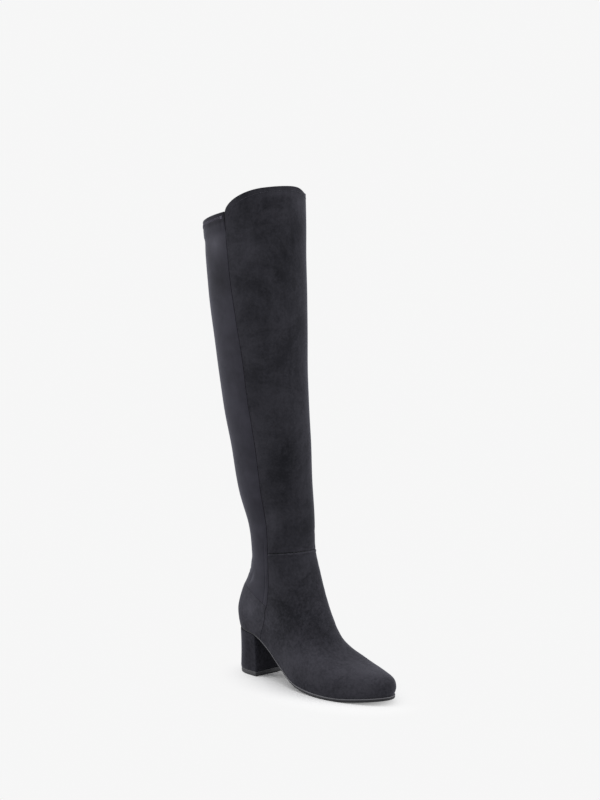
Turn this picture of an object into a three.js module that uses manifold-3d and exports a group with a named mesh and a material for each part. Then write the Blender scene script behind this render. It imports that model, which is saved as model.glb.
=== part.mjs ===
// An over-the-knee boot for the right foot, in suede with a stretch back and a covered block heel.
// Millimetres, +Z up. +X points to the toe and +Y to the inner side of the leg. The origin is on the
// floor, under the middle of the heel's tread.
import * as THREE from "three";
import Module from "manifold-3d";
import { mergeVertices } from "three/addons/utils/BufferGeometryUtils.js";

const wasm = await Module();
wasm.setup();

// Driving sizes of the foot and of the leg
const footLength = 250;
const ballWidth = 86;
const heelHeight = 60;
const toeSpring = 6.5;
const toeSwing = 5;
const ankleRise = 104;
const ankleDepth = 86;
const ankleWidth = 72;
const legHeight = 442;
const collarDepth = 139;
const collarWidth = 117;
const shaftSetBack = 30;
const shaftLean = 22;

// Walls and clearances
const suedeWall = 1.8;
const stretchWall = 1.4;
const seamGap = 0.3;
const bottomGap = 0.35;

// Sole, insole and heel
const soleThickness = 4;
const waistThickness = 1.8;
const soleLedge = 1;
const seatInset = 0.5;
const soleEdgeRound = 1.2;
const treadFlattening = 0.12;
const insoleThickness = 2.4;
const insoleGap = 0.5;
const heelTipHeight = 6;
const heelTreadWidth = 56;
const heelTreadBack = 1;
const heelTreadLength = 48;
const heelWaist = 0.5;
const heelTipInset = 0.4;

// Panels of the leg
const counterRow = 5.7;
const stretchDrop = 19;
const hemHeight = 10;
const hemStep = 0.7;
const collarCornerDrop = 21.5;
const collarCornerReach = 50;
const collarSag = 5;

// Zip
const zipOpening = 7;
const zipTopRise = 116;
const zipFootRow = 1.7;
const zipTapeWidth = 17;
const zipTapeThickness = 0.8;
const zipTapeGap = 0.6;
const zipTeethWidth = 4.6;
const zipTeethDepth = 0.5;
const zipTeethSlope = 0.3;
const sliderWidth = 8;
const sliderLength = 11;
const sliderThickness = 2.2;
const sliderClearance = 0.35;
const sliderCorner = 2;
const sliderKeelWidth = 3.6;
const sliderKeelInset = 1;
const pullWidth = 5;
const pullLength = 24;
const pullThickness = 1.2;
const pullCorner = 1.4;
const pullBar = 1.3;
const pullClearance = 0.35;
const archWidth = 2;
const archWall = 0.9;
const windowLength = 3.2;

const { lerp, clamp, smoothstep, degToRad } = THREE.MathUtils;

// Rows with named columns.
function table(columns, rows) {
  const names = columns.split(" ");
  return rows.map((row) => Object.fromEntries(names.map((name, i) => [name, row[i]])));
}

// The sole's stations, one every tenth of the foot's length from the back of the heel to the toe.
// Lateral and medial are half widths as shares of ballWidth, pitch is the share of the heel's height,
// spring the share of toeSpring, and thick runs from the waist's thickness (0) to the forefoot's (1).
const soleStations = table("lateral medial pitch spring thick", [
  [0.355, 0.35, 1.0, 0, 0],
  [0.355, 0.35, 0.965, 0, 0],
  [0.355, 0.34, 0.88, 0, 0],
  [0.36, 0.305, 0.645, 0, 0],
  [0.385, 0.285, 0.33, 0, 0.1],
  [0.435, 0.33, 0.1, 0, 0.5],
  [0.455, 0.41, 0.02, 0, 0.9],
  [0.455, 0.46, 0, 0, 1],
  [0.425, 0.455, 0, 0.05, 1],
  [0.385, 0.42, 0, 0.45, 1],
  [0.36, 0.38, 0, 1, 1],
]);

// The foot's sections, from the feather line on the sole up to the ankle seam. Each is a tilted ring.
// front and back are its ends as shares of footLength, frontRise and backRise their heights as shares
// of the way up to the ankle seam, swell its width over the sole's, oval its share of a plain oval,
// nose and tail the shares of its length that are rounded, and sag how far it follows the sole's curve.
const footSections = table("front frontRise back backRise swell oval nose tail sag", [
  [1.0, 0.0, 0.01, 0.0, 1.0, 0, 0.3, 0.13, 1],
  [1.012, 0.058, -0.002, 0.1, 1.045, 0, 0.31, 0.14, 1],
  [0.998, 0.118, -0.009, 0.21, 1.06, 0, 0.34, 0.15, 0.97],
  [0.94, 0.15, -0.005, 0.31, 1.055, 0.05, 0.38, 0.18, 0.92],
  [0.853, 0.173, 0.004, 0.4, 1.03, 0.15, 0.42, 0.22, 0.8],
  [0.755, 0.21, 0.018, 0.49, 0.985, 0.3, 0.45, 0.27, 0.6],
  [0.664, 0.288, 0.042, 0.58, 0.97, 0.5, 0.48, 0.33, 0.38],
  [0.593, 0.44, 0.064, 0.665, 0.97, 0.7, 0.49, 0.39, 0.2],
  [0.535, 0.62, 0.083, 0.745, 0.97, 0.88, 0.5, 0.45, 0.08],
  [0.484, 0.82, 0.096, 0.825, 0.97, 1, 0.5, 0.49, 0.02],
]);

// The leg's sections, from the ankle seam up to the collar. rise is the share of legHeight, depth and
// width the growth from the ankle's size (0) to the collar's (1), set and lean the shares of
// shaftSetBack and shaftLean, and drop how far the back lies below the front, in the ring's own depths.
const legSections = table("rise depth width set lean drop", [
  [0, 0, 0, 0, 0, 0.11],
  [0.08, 0.05, 0.06, 0.08, 0.05, 0.12],
  [0.18, 0.25, 0.25, 0.3, 0.23, 0.14],
  [0.3, 0.36, 0.4, 0.38, 0.45, 0.16],
  [0.42, 0.5, 0.54, 0.52, 0.66, 0.17],
  [0.55, 0.63, 0.68, 0.66, 0.75, 0.17],
  [0.68, 0.77, 0.82, 0.8, 0.83, 0.17],
  [0.82, 0.88, 0.92, 0.91, 0.92, 0.18],
  [1, 1, 1, 1, 1, 0.19],
]);

// The side seam's angle round the ring from the back, in degrees, at the rows of both tables above
const seamAngles = [58, 60, 63, 66, 69.5, 73.5, 79.5, 86, 93, 99, 103, 105, 109, 110, 109.5, 107.5, 104, 101, 99.5];

// The value of a column at row v, by a smooth curve through the rows.
function along(rows, column, v) {
  const last = rows.length - 1;
  const i = clamp(Math.floor(v), 0, last - 1);
  const t = v - i;
  const at = (k) => (column === undefined ? rows[k] : rows[k][column]);
  const p1 = at(i);
  const p2 = at(i + 1);
  const p0 = i > 0 ? at(i - 1) : 2 * p1 - p2;
  const p3 = i + 2 <= last ? at(i + 2) : 2 * p2 - p1;
  const square = 2 * p0 - 5 * p1 + 4 * p2 - p3;
  const cube = 3 * (p1 - p2) + p3 - p0;
  return p1 + ((p2 - p0) * t + square * t * t + cube * t * t * t) / 2;
}

const station = (column, x) =>
  along(soleStations, column, clamp(x / footLength, 0, 1) * (soleStations.length - 1));

// Height of the feather line, where the upper meets the sole, at a distance x from the heel's back.
function featherHeight(x) {
  const pitched = (heelHeight - soleThickness) * station("pitch", x);
  return soleThickness + pitched + toeSpring * station("spring", x);
}

// Height of the sole's underside, which is level under the ball of the foot.
function undersideHeight(x) {
  const thickness = lerp(waistThickness, soleThickness, station("thick", x));
  return Math.max(featherHeight(x) - thickness - treadFlattening, 0);
}

const toeFeather = soleThickness + toeSpring;
const ankleSeamHeight = heelHeight + ankleRise;
const ankleBack = 0.105 * footLength;

// Every section of the upper as absolute sizes, the foot's rows first and then the leg's.
const sections = [
  ...footSections.map((row) => ({
    frontX: row.front * footLength,
    frontZ: lerp(toeFeather, ankleSeamHeight, row.frontRise),
    backX: row.back * footLength,
    backZ: heelHeight + ankleRise * row.backRise,
    half: ankleWidth / 2,
    swell: row.swell,
    oval: row.oval,
    nose: row.nose,
    tail: row.tail,
    sag: row.sag,
    lean: 0,
  })),
  ...legSections.map((row) => {
    const depth = lerp(ankleDepth, collarDepth, row.depth);
    const middle = ankleBack + ankleDepth / 2 - shaftSetBack * row.set;
    const frontZ = ankleSeamHeight + legHeight * row.rise;
    return {
      frontX: middle + depth / 2,
      frontZ,
      backX: middle - depth / 2,
      backZ: frontZ - depth * row.drop,
      half: lerp(ankleWidth, collarWidth, row.width) / 2,
      swell: 1,
      oval: 1,
      nose: 0.5,
      tail: 0.5,
      sag: 0,
      lean: -shaftLean * row.lean,
    };
  }),
];
const ankleRow = footSections.length;
const collarRow = sections.length - 1;

// A rounded end: 0 at the tip and 1 from the given reach onwards, along a quarter of an ellipse.
function roundedEnd(distance, reach) {
  const t = 1 - clamp(distance / reach, 0, 1);
  return Math.sqrt(1 - t * t);
}

// A point of the boot's outside at row v and angle a: 0 is the middle of the back, then round the
// lateral side to the front at half a turn, and home along the medial side.
function skinPoint(v, a) {
  const s = Object.fromEntries(Object.keys(sections[0]).map((key) => [key, along(sections, key, v)]));
  const share = (1 - Math.cos(a)) / 2;
  const x = lerp(s.backX, s.frontX, share);
  const outwards = Math.sin(a) >= 0 ? -1 : 1;
  const plan = ballWidth * station(outwards < 0 ? "lateral" : "medial", x) * s.swell;
  const ends = roundedEnd(1 - share, s.nose) * roundedEnd(share, s.tail);
  const swing = toeSwing * clamp(x / footLength, 0, 1) ** 2;
  const chord = lerp(featherHeight(s.backX), featherHeight(s.frontX), share);
  return new THREE.Vector3(
    x,
    outwards * lerp(plan, s.half, s.oval) * ends + swing + s.lean,
    lerp(s.backZ, s.frontZ, share) + s.sag * (featherHeight(x) - chord),
  );
}

// The outward direction of that outside, and the same point moved along it.
function skinNormal(v, a) {
  const step = 0.01;
  const up = skinPoint(Math.min(v + step, collarRow), a).sub(skinPoint(Math.max(v - step, 0), a));
  const round = skinPoint(v, a + step).sub(skinPoint(v, a - step));
  return round.cross(up).normalize();
}

const raised = (v, a, offset) => skinPoint(v, a).addScaledVector(skinNormal(v, a), offset);

// The angle, or the number of rows, that one millimetre spans on the outside at row v and angle a.
const anglePerMillimetre = (v, a) => 0.02 / skinPoint(v, a + 0.01).distanceTo(skinPoint(v, a - 0.01));
const rowsPerMillimetre = (v, a) => 0.02 / skinPoint(v - 0.01, a).distanceTo(skinPoint(v - 0.03, a));

const seamAngle = (v) => degToRad(along(seamAngles, undefined, v));

// A closed geometry from points and triangles, with points that coincide made one.
function closedGeometry(points, triangles) {
  const numbers = new Map();
  const kept = [];
  const renumber = points.map((point) => {
    const key = point.toArray().map((value) => value.toFixed(5)).join();
    if (!numbers.has(key)) numbers.set(key, kept.push(point) - 1);
    return numbers.get(key);
  });
  const faces = triangles
    .map((face) => face.map((i) => renumber[i]))
    .filter(([a, b, c]) => a !== b && b !== c && c !== a);
  const geometry = new THREE.BufferGeometry();
  geometry.setAttribute("position", new THREE.Float32BufferAttribute(kept.flatMap((p) => p.toArray()), 3));
  geometry.setIndex(faces.flat());
  return geometry;
}

// A wall over a grid of cells. place(i, j, side) gives the grid's points on its outside (1) and inside
// (0), keep says which cells exist, and every open edge of those cells is closed by the wall's thickness.
function wallOverGrid(rows, columns, wraps, place, keep = () => true) {
  const width = wraps ? columns : columns + 1;
  const points = [];
  const numbers = new Map();
  const vertex = (side, i, j) => {
    const key = `${side},${i},${j % width}`;
    if (!numbers.has(key)) numbers.set(key, points.push(place(i, j % width, side)) - 1);
    return numbers.get(key);
  };
  const exists = (i, j) => {
    if (i < 0 || i >= rows) return false;
    if (!wraps && (j < 0 || j >= columns)) return false;
    return keep(i, (j + columns) % columns);
  };
  const triangles = [];
  const quad = (a, b, c, d) => triangles.push([a, b, c], [a, c, d]);
  for (let i = 0; i < rows; i++) {
    for (let j = 0; j < columns; j++) {
      if (!exists(i, j)) continue;
      const corners = [[i, j], [i, j + 1], [i + 1, j + 1], [i + 1, j]];
      const [o1, o2, o3, o4] = corners.map(([k, l]) => vertex(1, k, l));
      const [n1, n2, n3, n4] = corners.map(([k, l]) => vertex(0, k, l));
      quad(o1, o2, o3, o4);
      quad(n1, n4, n3, n2);
      if (!exists(i - 1, j)) quad(o1, n1, n2, o2);
      if (!exists(i + 1, j)) quad(o4, o3, n3, n4);
      if (!exists(i, j - 1)) quad(o1, o4, n4, n1);
      if (!exists(i, j + 1)) quad(o2, n2, n3, o3);
    }
  }
  return closedGeometry(points, triangles);
}

// A solid from layers of rungs, the top layer first. Each rung goes straight across from its lateral
// point to its medial one, at its own x and z, so that the top and the underside are ladders of rungs.
function solidFromLayers(layers) {
  const count = layers[0].length;
  const last = layers.length - 1;
  const points = [];
  for (const rungs of layers) {
    for (const { x, z, lateral, medial } of rungs) {
      points.push(new THREE.Vector3(x, lateral, z), new THREE.Vector3(x, medial, z));
    }
  }
  const at = (layer, rung, side) => 2 * (layer * count + rung) + side;
  const triangles = [];
  const quad = (a, b, c, d) => triangles.push([a, b, c], [a, c, d]);
  for (let k = 0; k + 1 < count; k++) {
    quad(at(0, k, 0), at(0, k + 1, 0), at(0, k + 1, 1), at(0, k, 1));
    quad(at(last, k, 0), at(last, k, 1), at(last, k + 1, 1), at(last, k + 1, 0));
  }
  const front = count - 1;
  for (let upper = 0; upper < last; upper++) {
    const lower = upper + 1;
    for (let k = 0; k < front; k++) {
      quad(at(lower, k, 0), at(lower, k + 1, 0), at(upper, k + 1, 0), at(upper, k, 0));
      quad(at(upper, k, 1), at(upper, k + 1, 1), at(lower, k + 1, 1), at(lower, k, 1));
    }
    quad(at(upper, 0, 0), at(upper, 0, 1), at(lower, 0, 1), at(lower, 0, 0));
    quad(at(upper, front, 0), at(lower, front, 0), at(lower, front, 1), at(upper, front, 1));
  }
  return closedGeometry(points, triangles);
}

const evenly = (count, from, to) =>
  Array.from({ length: count + 1 }, (_, i) => lerp(from, to, i / count));

// Rungs of the sole's outline, drawn in by insetAt(x) and by round, at the height of height(x).
function outlineRungs(count, insetAt, height, round = 0) {
  const { backX, frontX, nose, tail } = sections[0];
  const from = backX + insetAt(0) + round;
  const to = frontX - insetAt(footLength) - round;
  return evenly(count, 0, Math.PI).map((a) => {
    const share = (1 - Math.cos(a)) / 2;
    const x = lerp(from, to, share);
    const ends = roundedEnd(1 - share, nose) * roundedEnd(share, tail);
    const swing = toeSwing * clamp(x / footLength, 0, 1) ** 2;
    const half = (side) => (ballWidth * station(side, x) - insetAt(x) - round) * ends;
    return { x, z: height(x), lateral: swing - half("lateral"), medial: swing + half("medial") };
  });
}

const meshes = [];
function add(name, geometry, color, roughness, metalness = 0) {
  const material = new THREE.MeshStandardMaterial({ color, roughness, metalness });
  const mesh = new THREE.Mesh(geometry, material);
  mesh.name = name;
  meshes.push(mesh);
  return mesh;
}

const suede = 0x2c2a2e;
const stretch = 0x33333a;
const rubber = 0x1d1d1f;
const zinc = 0x8e8e92;

// Outsole: it shows as a ledge round the forefoot and tucks in over the heel
const ledge = (x) => lerp(seatInset, -soleLedge, smoothstep(x, 0.17 * footLength, 0.36 * footLength));
function edgeHeight(x) {
  const bottom = undersideHeight(x);
  return bottom + Math.min(soleEdgeRound, (featherHeight(x) - bottom) / 2);
}
add("outsole", solidFromLayers([
  outlineRungs(36, ledge, featherHeight),
  outlineRungs(36, ledge, edgeHeight),
  outlineRungs(36, ledge, undersideHeight, soleEdgeRound),
]), rubber, 0.6);

// Insole: a board inside the upper, on the outsole
const insoleInset = () => suedeWall + insoleGap;
add("insole", solidFromLayers([
  outlineRungs(28, insoleInset, (x) => featherHeight(x) + bottomGap + insoleThickness),
  outlineRungs(28, insoleInset, (x) => featherHeight(x) + bottomGap),
]), 0x3a3837, 0.9);

// Heel: a covered block with a round back and a flat front, on a rubber top piece
const heelBreast = heelTreadBack + heelTreadLength;
function heelRungs(level, height, inset = 0) {
  const { backX, tail } = sections[0];
  const waist = heelWaist * Math.sin(Math.PI * level);
  const from = lerp(heelTreadBack, backX, level) + waist + inset;
  return evenly(14, 0, Math.PI / 2).map((a) => {
    const x = lerp(from, heelBreast - inset, 1 - Math.cos(a));
    const ends = roundedEnd((x - from) / footLength, tail);
    const half = (side) => {
      const width = lerp(heelTreadWidth / 2, ballWidth * station(side, x), level);
      return (width - waist - inset) * ends;
    };
    return { x, z: height(x), lateral: -half("lateral"), medial: half("medial") };
  });
}
const heelTop = (x) => undersideHeight(x) - bottomGap;
const heelBottom = heelTipHeight + seamGap;
add("heel", solidFromLayers([1, 0.8, 0.55, 0.3, 0.12, 0].map((level) =>
  heelRungs(level, (x) => lerp(heelBottom, heelTop(x), level)),
)), suede, 0.95);
add("heel_tip", solidFromLayers([
  heelRungs(0, () => heelTipHeight, heelTipInset),
  heelRungs(0, () => soleEdgeRound / 2, heelTipInset),
  heelRungs(0, () => 0, heelTipInset + soleEdgeRound / 2),
]), rubber, 0.55);

// Row at which the front of the leg is a given height above the ankle seam
function rowAtRise(rise) {
  let low = ankleRow;
  let high = collarRow;
  for (let step = 0; step < 40; step++) {
    const middle = (low + high) / 2;
    if (along(sections, "frontZ", middle) < ankleSeamHeight + rise) low = middle;
    else high = middle;
  }
  return low;
}

// The zip's opening in the medial seam: its width at row v, and the seam's two edges there
const fullTurn = 2 * Math.PI;
const zipTopRow = rowAtRise(zipTopRise);
const zipEndRow = zipTopRow + 0.1;
const openingAt = (v) => lerp(zipOpening, seamGap, smoothstep(v, zipTopRow, zipEndRow));
const medialEdge = (v, side) =>
  -seamAngle(v) + (side * openingAt(v) * anglePerMillimetre(v, -seamAngle(v))) / 2;

// Rows that the pieces share, so that walls which meet have the same facets
const belowZip = [0, 0.4, 1];
const alongFoot = [zipFootRow, 2.4, 3.1, 3.9, 4.8];
const alongCounter = [6.6, 7.7, 8.8];
const alongZip = [10.6, 11.2, 11.8, zipTopRow];
const aboveZip = [zipEndRow, 13.2, 14, 15, 16, 17];

// Upper of the foot: vamp and counter in one wall, with a notch behind for the stretch panel and a
// slot for the zip
const upperRows = [...belowZip, ...alongFoot, counterRow, ...alongCounter, ankleRow];
const backColumns = 12;
const frontColumns = 27;
function upperAngle(v, j) {
  if (j <= backColumns) return lerp(medialEdge(v, 1), seamAngle(v), j / backColumns);
  return lerp(seamAngle(v), medialEdge(v, -1) + fullTurn, (j - backColumns) / frontColumns);
}
add("upper", wallOverGrid(
  upperRows.length - 1,
  backColumns + frontColumns + 1,
  true,
  (i, j, side) => {
    const v = upperRows[i];
    const point = raised(v, upperAngle(v, j), (side - 1) * suedeWall);
    if (i === 0) point.z += bottomGap;
    return point;
  },
  (i, j) => {
    const inFront = j >= backColumns && j < backColumns + frontColumns;
    if (upperRows[i] >= counterRow) return inFront;
    return upperRows[i] < zipFootRow || j < backColumns + frontColumns;
  },
), suede, 0.95);

// Shaft: the suede front of the leg, with rounded corners at the collar
const collarMillimetre = rowsPerMillimetre(collarRow, Math.PI);
const shaftColumns = 28;
const shaftRows = [
  ankleRow + seamGap * rowsPerMillimetre(ankleRow + 0.1, Math.PI),
  ...alongZip, ...aboveZip, 17.5, collarRow,
];
function shaftAngle(v, j) {
  const t = j / shaftColumns;
  const share = (t + (1 - Math.cos(Math.PI * t)) / 2) / 2;
  return lerp(seamAngle(v), medialEdge(v, -1) + fullTurn, share);
}
function shaftRow(i, j) {
  const row = shaftRows[i];
  const a = shaftAngle(collarRow, j);
  const toEdge = Math.min(a - shaftAngle(collarRow, 0), shaftAngle(collarRow, shaftColumns) - a);
  const edgeDistance = toEdge / anglePerMillimetre(collarRow, a);
  const corner = collarCornerDrop * (1 - roundedEnd(edgeDistance, collarCornerReach));
  const sag = collarSag * Math.exp(-(((a - degToRad(212)) / degToRad(16)) ** 2));
  return row - (corner + sag) * collarMillimetre * clamp(row - 17, 0, 1);
}
add("shaft", wallOverGrid(shaftRows.length - 1, shaftColumns, false, (i, j, side) => {
  const v = shaftRow(i, j);
  return raised(v, shaftAngle(v, j), (side - 1) * suedeWall);
}), suede, 0.95);

// Stretch panel: the back of the leg, from the counter up to a folded hem
const stretchTopRow = collarRow - stretchDrop * collarMillimetre;
const hemRow = stretchTopRow - hemHeight * collarMillimetre;
const stretchColumns = 16;
const stretchRows = [
  counterRow + seamGap * rowsPerMillimetre(counterRow, 0),
  ...alongCounter, ankleRow, ...alongZip, ...aboveZip, hemRow, hemRow + 0.01, stretchTopRow,
];
const hemFrom = stretchRows.length - 2;
function stretchAngle(v, j) {
  const lateralEdge = seamAngle(v) - seamGap * anglePerMillimetre(v, seamAngle(v));
  return lerp(medialEdge(v, 1), lateralEdge, j / stretchColumns);
}
add("stretch_panel", wallOverGrid(stretchRows.length - 1, stretchColumns, false, (i, j, side) => {
  const v = stretchRows[i];
  return raised(v, stretchAngle(v, j), side ? (i >= hemFrom ? hemStep : 0) : -stretchWall);
}), stretch, 0.7);

// Zip: a tape behind the opening, with the closed teeth as a ridge along its middle
const tapeDepth = suedeWall + zipTapeGap;
const tapeProfile = table("across depth", [
  [-zipTapeWidth / 2, tapeDepth],
  [-zipTeethWidth / 2 - zipTeethSlope, tapeDepth],
  [-zipTeethWidth / 2, zipTeethDepth],
  [zipTeethWidth / 2, zipTeethDepth],
  [zipTeethWidth / 2 + zipTeethSlope, tapeDepth],
  [zipTapeWidth / 2, tapeDepth],
]);
const tapeRows = [
  zipFootRow - 0.2, zipFootRow + 0.03, zipFootRow + 0.05, ...alongFoot.slice(1), counterRow,
  ...alongCounter, ankleRow, ...alongZip,
];
const teethFrom = 2;
add("zip", wallOverGrid(tapeRows.length - 1, tapeProfile.length - 1, false, (i, j, side) => {
  const v = tapeRows[i];
  const { across, depth } = tapeProfile[j];
  const a = -seamAngle(v) + across * anglePerMillimetre(v, -seamAngle(v));
  if (!side) return raised(v, a, -tapeDepth - zipTapeThickness);
  return raised(v, a, i < teethFrom ? -tapeDepth : -depth);
}), 0x17171a, 0.7);

// Boolean union of three.js geometries
function toManifold(geometry) {
  const clean = geometry.clone();
  clean.deleteAttribute("normal");
  clean.deleteAttribute("uv");
  const merged = mergeVertices(clean, 1e-5);
  return new wasm.Manifold(new wasm.Mesh({
    numProp: 3,
    vertProperties: new Float32Array(merged.attributes.position.array),
    triVerts: new Uint32Array(merged.index.array),
  }));
}
function union(geometries) {
  const mesh = wasm.Manifold.union(geometries.map(toManifold)).getMesh();
  const geometry = new THREE.BufferGeometry();
  geometry.setAttribute("position", new THREE.BufferAttribute(mesh.vertProperties, 3));
  geometry.setIndex(new THREE.BufferAttribute(mesh.triVerts, 1));
  return geometry;
}

// A box between two corners, and a plate with round corners in the plane of x and y
function block(x1, x2, y1, y2, z1, z2) {
  const box = new THREE.BoxGeometry(x2 - x1, y2 - y1, z2 - z1);
  return box.translate((x1 + x2) / 2, (y1 + y2) / 2, (z1 + z2) / 2);
}
function roundedPlate(width, top, bottom, radius, z1, z2) {
  const w = width / 2;
  const shape = new THREE.Shape();
  shape.moveTo(-w + radius, bottom);
  shape.lineTo(w - radius, bottom);
  shape.quadraticCurveTo(w, bottom, w, bottom + radius);
  shape.lineTo(w, top - radius);
  shape.quadraticCurveTo(w, top, w - radius, top);
  shape.lineTo(-w + radius, top);
  shape.quadraticCurveTo(-w, top, -w, top - radius);
  shape.lineTo(-w, bottom + radius);
  shape.quadraticCurveTo(-w, bottom, -w + radius, bottom);
  const settings = { depth: z2 - z1, bevelEnabled: false, curveSegments: 3 };
  return new THREE.ExtrudeGeometry(shape, settings).translate(0, 0, z1);
}

// Slider: it sits over the top of the teeth, with an arch on its face for the pull tab's bar
const sliderFace = sliderClearance + sliderThickness;
const archHole = pullBar + 2 * pullClearance;
const archTop = sliderFace + archHole + archWall;
const footEnd = archHole / 2 + archWall;
const keel = sliderKeelWidth / 2;
const keelEnd = sliderLength / 2 - sliderKeelInset;
const archRoot = sliderFace - sliderThickness / 2;
const slider = add("zip_slider", union([
  roundedPlate(sliderWidth, sliderLength / 2, -sliderLength / 2, sliderCorner, sliderClearance, sliderFace),
  block(-keel, keel, -keelEnd, keelEnd, 0, archRoot),
  block(-archWidth / 2, archWidth / 2, archHole / 2, footEnd, archRoot, archTop),
  block(-archWidth / 2, archWidth / 2, -footEnd, -archHole / 2, archRoot, archTop),
  block(-archWidth / 2, archWidth / 2, -footEnd, footEnd, archTop - archWall, archTop),
]), zinc, 0.35, 0.9);
const sliderRow = zipTopRow - 0.14;
const sliderAngle = -seamAngle(sliderRow);
const outward = skinNormal(sliderRow, sliderAngle);
const climb = skinPoint(sliderRow + 0.05, sliderAngle).sub(skinPoint(sliderRow - 0.05, sliderAngle));
const sideways = climb.cross(outward).normalize();
const upward = outward.clone().cross(sideways);
const sliderFrame = new THREE.Group();
sliderFrame.quaternion.setFromRotationMatrix(new THREE.Matrix4().makeBasis(sideways, upward, outward));
sliderFrame.position.copy(skinPoint(sliderRow, sliderAngle));

// Pull tab: it hangs straight down from the arch by a round bar
const railStart = archWidth / 2 + pullClearance;
const halfPull = pullThickness / 2;
const bar = new THREE.CylinderGeometry(pullBar / 2, pullBar / 2, pullWidth, 12).rotateZ(Math.PI / 2);
const railEnd = -windowLength - pullCorner;
const pull = add("zip_pull", union([
  bar,
  block(railStart, pullWidth / 2, railEnd, 0, -halfPull, halfPull),
  block(-pullWidth / 2, -railStart, railEnd, 0, -halfPull, halfPull),
  roundedPlate(pullWidth, -windowLength, pullBar / 2 - pullLength, pullCorner, -halfPull, halfPull),
]), zinc, 0.35, 0.9);
pull.position.z = sliderFace + archHole / 2;
pull.rotation.x = Math.atan2(outward.z, upward.z);
sliderFrame.add(slider, pull);

// The whole boot, moved so that the middle of the heel's tread is over the origin
const placed = new THREE.Group();
placed.position.x = -(heelTreadBack + heelBreast) / 2;
placed.add(...meshes.filter((mesh) => mesh !== slider && mesh !== pull), sliderFrame);
const boot = new THREE.Group();
boot.name = "over_the_knee_boot";
boot.add(placed);
export default boot;
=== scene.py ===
import math

import bmesh
import bpy
import numpy as np
from mathutils import Matrix


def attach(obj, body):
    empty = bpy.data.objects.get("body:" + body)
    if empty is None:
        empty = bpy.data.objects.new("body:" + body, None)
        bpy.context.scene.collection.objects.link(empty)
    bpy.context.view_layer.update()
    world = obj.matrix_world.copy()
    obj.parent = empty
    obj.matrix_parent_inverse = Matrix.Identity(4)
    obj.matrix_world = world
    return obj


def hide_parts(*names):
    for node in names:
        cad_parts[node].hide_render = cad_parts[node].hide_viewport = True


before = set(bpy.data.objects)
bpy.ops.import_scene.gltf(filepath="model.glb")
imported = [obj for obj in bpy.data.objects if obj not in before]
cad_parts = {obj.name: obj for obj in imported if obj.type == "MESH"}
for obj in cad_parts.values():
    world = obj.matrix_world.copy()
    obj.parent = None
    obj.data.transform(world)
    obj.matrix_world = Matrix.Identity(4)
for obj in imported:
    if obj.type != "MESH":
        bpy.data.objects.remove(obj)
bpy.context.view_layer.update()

# Vamp
# The suede of the foot's front and sides. It is pulled over the last, glued under the insole, and sewn
# to the counter and the stretch panel behind, and to the shaft at the ankle.
mm = 0.001
foot_length = 250 * mm
ball_width = 86 * mm
heel_height = 60 * mm
toe_spring = 6.5 * mm
toe_swing = 5 * mm
ankle_rise = 104 * mm
ankle_depth = 86 * mm
ankle_width = 72 * mm
ankle_back = 0.105 * foot_length
leg_height = 442 * mm
collar_depth = 139 * mm
collar_width = 117 * mm
shaft_set_back = 30 * mm
shaft_lean = 22 * mm
sole_thickness = 4 * mm
heel_middle = 25 * mm
suede_wall = 1.8 * mm
seam_gap = 0.3 * mm


def table(columns, rows):
    """The rows of a table as one array for each named column."""
    return dict(zip(columns.split(), np.array(rows, float).T))


def mix(start, end, share):
    """The value that lies at a share of the way from start to end."""
    return start + (end - start) * share


def along(values, v):
    """A column's value at row v: the Catmull-Rom cubic through the four rows around it, where both ends
    of the column are carried on straight."""
    p = np.concatenate([[2 * values[0] - values[1]], values, [2 * values[-1] - values[-2]]])
    row = np.clip(np.floor(v).astype(int), 0, len(values) - 2)
    t = v - row
    p0, p1, p2, p3 = (p[row + k] for k in range(4))
    square = 2 * p0 - 5 * p1 + 4 * p2 - p3
    cube = 3 * (p1 - p2) + p3 - p0
    return p1 + ((p2 - p0) * t + square * t**2 + cube * t**3) / 2


# Stations of the sole from the back of the heel to the toe: half widths as shares of the ball's width,
# the shares of the heel's height and of the toe's spring, and the thickness from waist to forefoot.
sole_stations = table("lateral medial pitch spring thick", [
    [0.355, 0.35, 1.0, 0, 0],
    [0.355, 0.35, 0.965, 0, 0],
    [0.355, 0.34, 0.88, 0, 0],
    [0.36, 0.305, 0.645, 0, 0],
    [0.385, 0.285, 0.33, 0, 0.1],
    [0.435, 0.33, 0.1, 0, 0.5],
    [0.455, 0.41, 0.02, 0, 0.9],
    [0.455, 0.46, 0, 0, 1],
    [0.425, 0.455, 0, 0.05, 1],
    [0.385, 0.42, 0, 0.45, 1],
    [0.36, 0.38, 0, 1, 1],
])

# Sections of the foot from the sole up to the ankle seam, each a tilted ring: its front and back ends
# and their heights, its width against the sole's, its share of a plain oval, the rounded shares of its
# front and back, and how far it follows the sole's curve.
foot_sections = table("front front_rise back back_rise swell oval nose tail sag", [
    [1.0, 0.0, 0.01, 0.0, 1.0, 0, 0.3, 0.13, 1],
    [1.012, 0.058, -0.002, 0.1, 1.045, 0, 0.31, 0.14, 1],
    [0.998, 0.118, -0.009, 0.21, 1.06, 0, 0.34, 0.15, 0.97],
    [0.94, 0.15, -0.005, 0.31, 1.055, 0.05, 0.38, 0.18, 0.92],
    [0.853, 0.173, 0.004, 0.4, 1.03, 0.15, 0.42, 0.22, 0.8],
    [0.755, 0.21, 0.018, 0.49, 0.985, 0.3, 0.45, 0.27, 0.6],
    [0.664, 0.288, 0.042, 0.58, 0.97, 0.5, 0.48, 0.33, 0.38],
    [0.593, 0.44, 0.064, 0.665, 0.97, 0.7, 0.49, 0.39, 0.2],
    [0.535, 0.62, 0.083, 0.745, 0.97, 0.88, 0.5, 0.45, 0.08],
    [0.484, 0.82, 0.096, 0.825, 0.97, 1, 0.5, 0.49, 0.02],
])

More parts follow.
